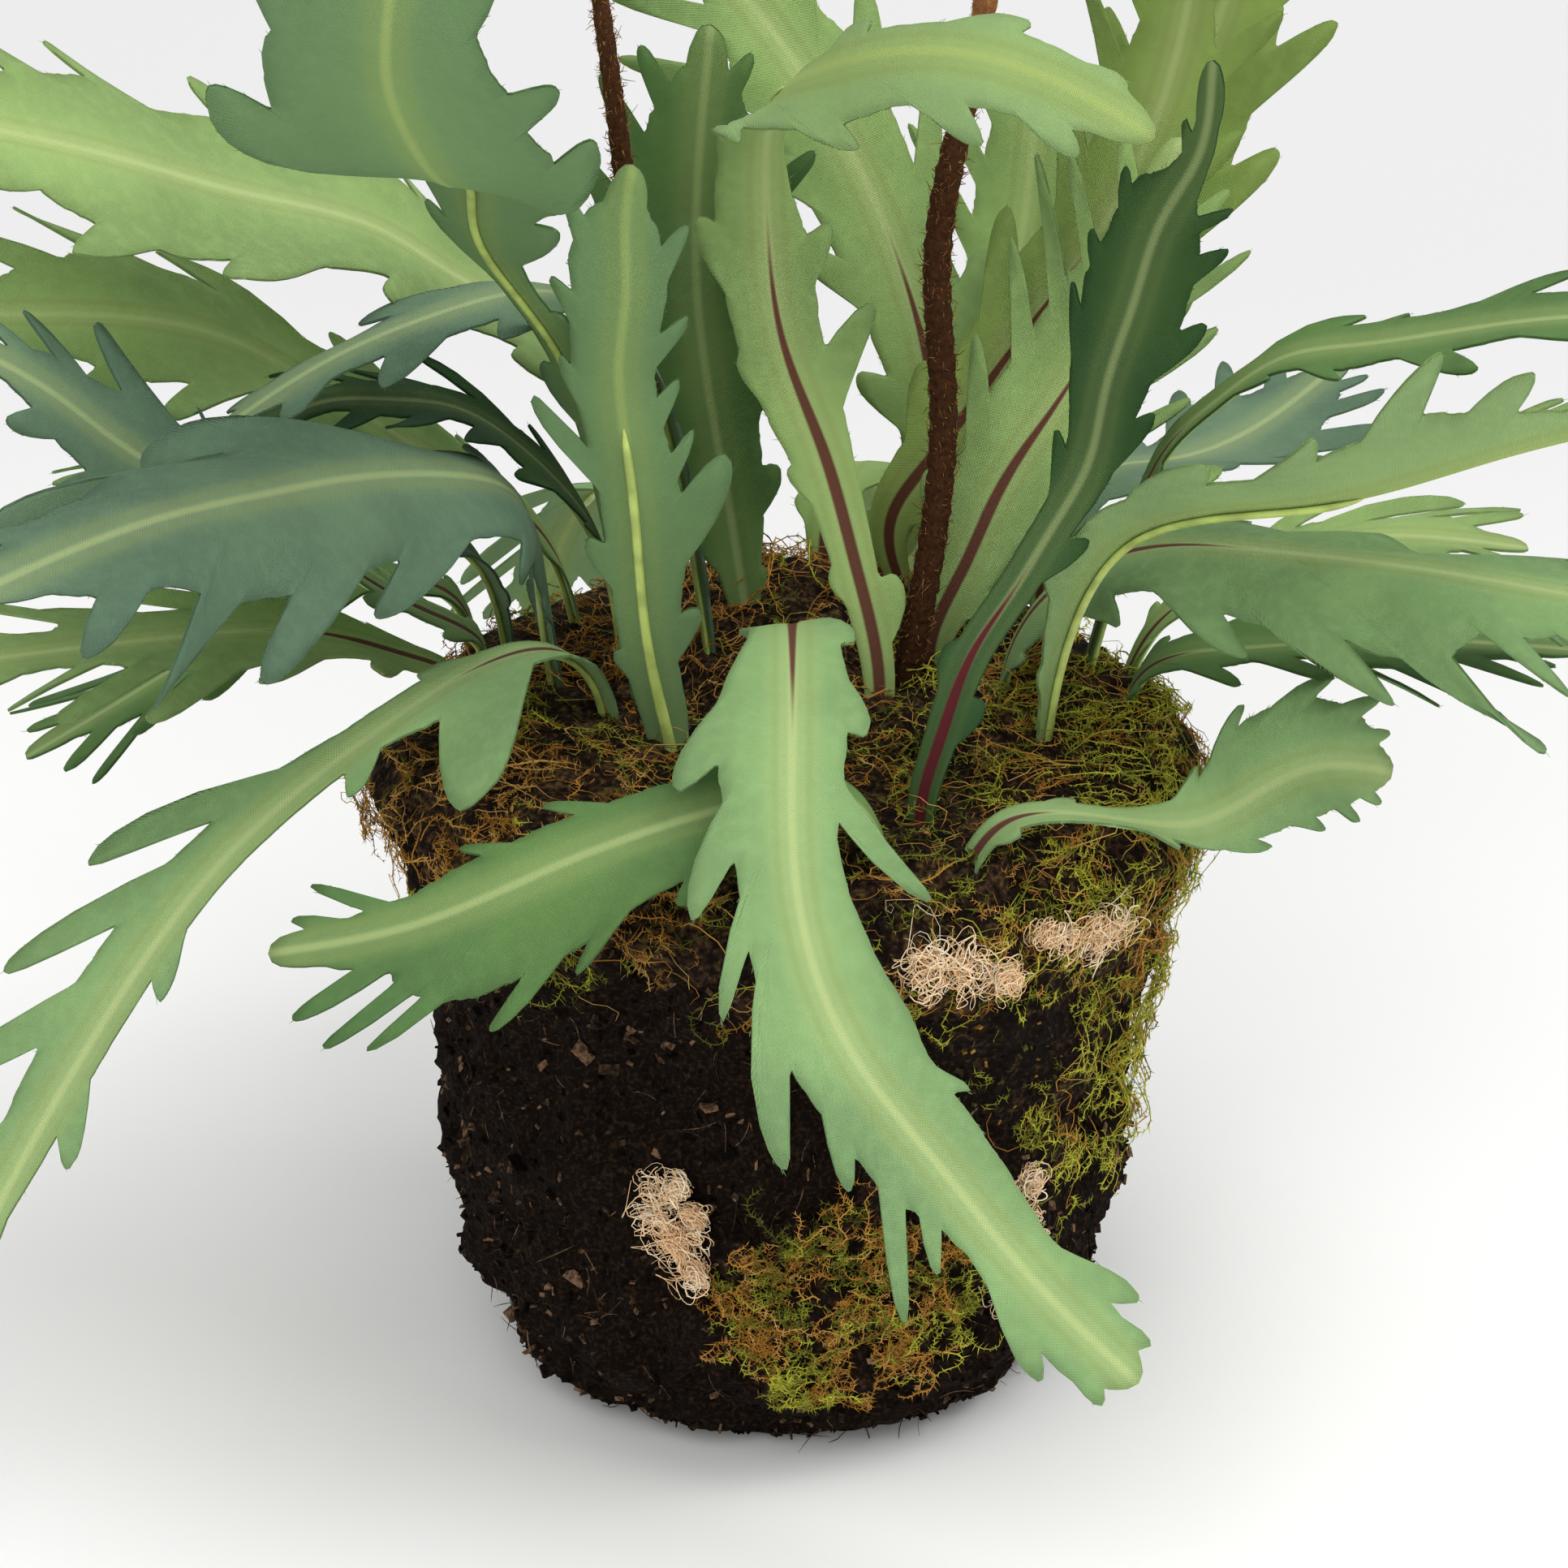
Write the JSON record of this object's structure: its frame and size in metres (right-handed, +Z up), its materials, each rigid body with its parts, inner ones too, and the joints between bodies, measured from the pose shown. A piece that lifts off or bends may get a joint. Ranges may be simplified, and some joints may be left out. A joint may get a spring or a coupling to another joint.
{
  "type": "artificial fern in root ball",
  "caption": "Fabric fern with lobed arching fronds and hairy stems, standing in a bare pot-shaped root ball with moss over its top.",
  "frame": {"origin": "middle of the flat foot of the root ball, on the surface it stands on", "axes": "+Z up, -Y toward the front with the arching frond, +X to the right seen from the front"},
  "size_m": [0.2164, 0.1997, 0.2261],
  "materials": {
    "peat": "rough, near-black fibre",
    "moss": "rough, olive with rust strands",
    "tan_fibre": "matte curled fibre",
    "frond_fabric": "matte woven fabric",
    "stem_fur": "short brown hairs"
  },
  "bodies": {
    "root": {"root_ball": "peat", "moss_cover": "moss", "moss_patch": "moss", "tan_fibre_front": "tan_fibre", "tan_fibre_right": "tan_fibre", "tan_fibre_rim": "tan_fibre", "left_hairy_stem": "stem_fur", "right_hairy_stem": "stem_fur", "front_arch_frond": "frond_fabric", "front_left_low_frond": "frond_fabric", "front_right_low_frond": "frond_fabric", "left_sweep_frond": "frond_fabric", "centre_left_tall_frond": "frond_fabric", "centre_twist_frond": "frond_fabric", "right_dark_tall_frond": "frond_fabric", "left_near_frond": "frond_fabric", "top_left_near_frond": "frond_fabric", "upper_left_frond": "frond_fabric", "mid_left_frond": "frond_fabric", "low_left_red_frond": "frond_fabric", "left_cream_frond": "frond_fabric", "left_fingers_frond": "frond_fabric", "left_drooping_frond": "frond_fabric", "left_low_pale_frond": "frond_fabric", "left_low_behind_frond": "frond_fabric", "back_centre_frond": "frond_fabric", "back_right_frond": "frond_fabric", "right_red_rib_frond": "frond_fabric", "top_right_frond": "frond_fabric", "right_upper_frond": "frond_fabric", "right_mid_near_frond": "frond_fabric", "right_red_low_frond": "frond_fabric", "right_low_behind_frond": "frond_fabric", "right_low_pale_frond": "frond_fabric", "far_right_frond": "frond_fabric", "back_lobed_frond": "frond_fabric", "back_left_dark_frond": "frond_fabric", "back_low_left_frond": "frond_fabric", "back_low_right_frond": "frond_fabric"}
  },
  "joints": []
}
